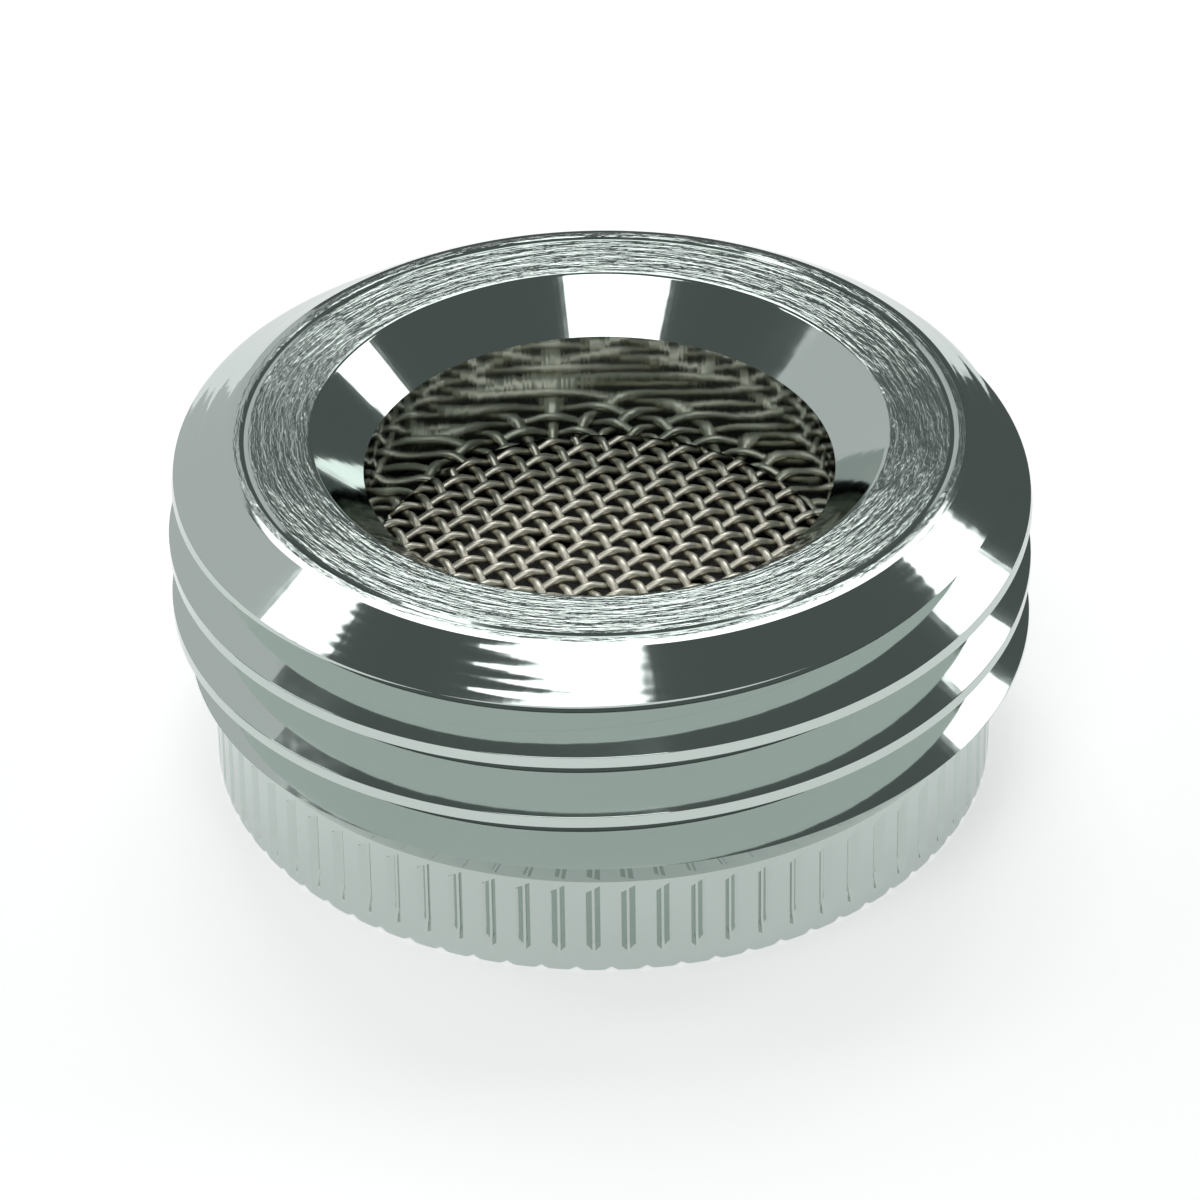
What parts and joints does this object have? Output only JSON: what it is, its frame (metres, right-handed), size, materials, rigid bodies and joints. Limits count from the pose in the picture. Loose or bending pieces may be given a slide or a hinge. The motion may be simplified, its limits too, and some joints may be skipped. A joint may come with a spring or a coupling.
{
  "type": "hose aerator adapter",
  "caption": "Chrome-plated turned tap adapter: knurled collar with an inside thread for the tap, coarse hose thread outside, and a wire screen across the chamfered outlet.",
  "frame": {"origin": "centre of the base, on the turning axis", "axes": "+Z along the turning axis, from the tap end to the hose end; the front is at -Y"},
  "size_m": [0.027, 0.027, 0.0116],
  "materials": {
    "chrome_plate": "bright chrome plate over turned brass",
    "steel_wire": "drawn stainless wire, plain weave",
    "dark_acetal": "moulded, satin",
    "black_rubber": "moulded, matt"
  },
  "bodies": {
    "root": {"body": "chrome_plate", "outlet_screen": "steel_wire", "jet_disc": "dark_acetal", "inlet_washer": "black_rubber"}
  },
  "joints": []
}
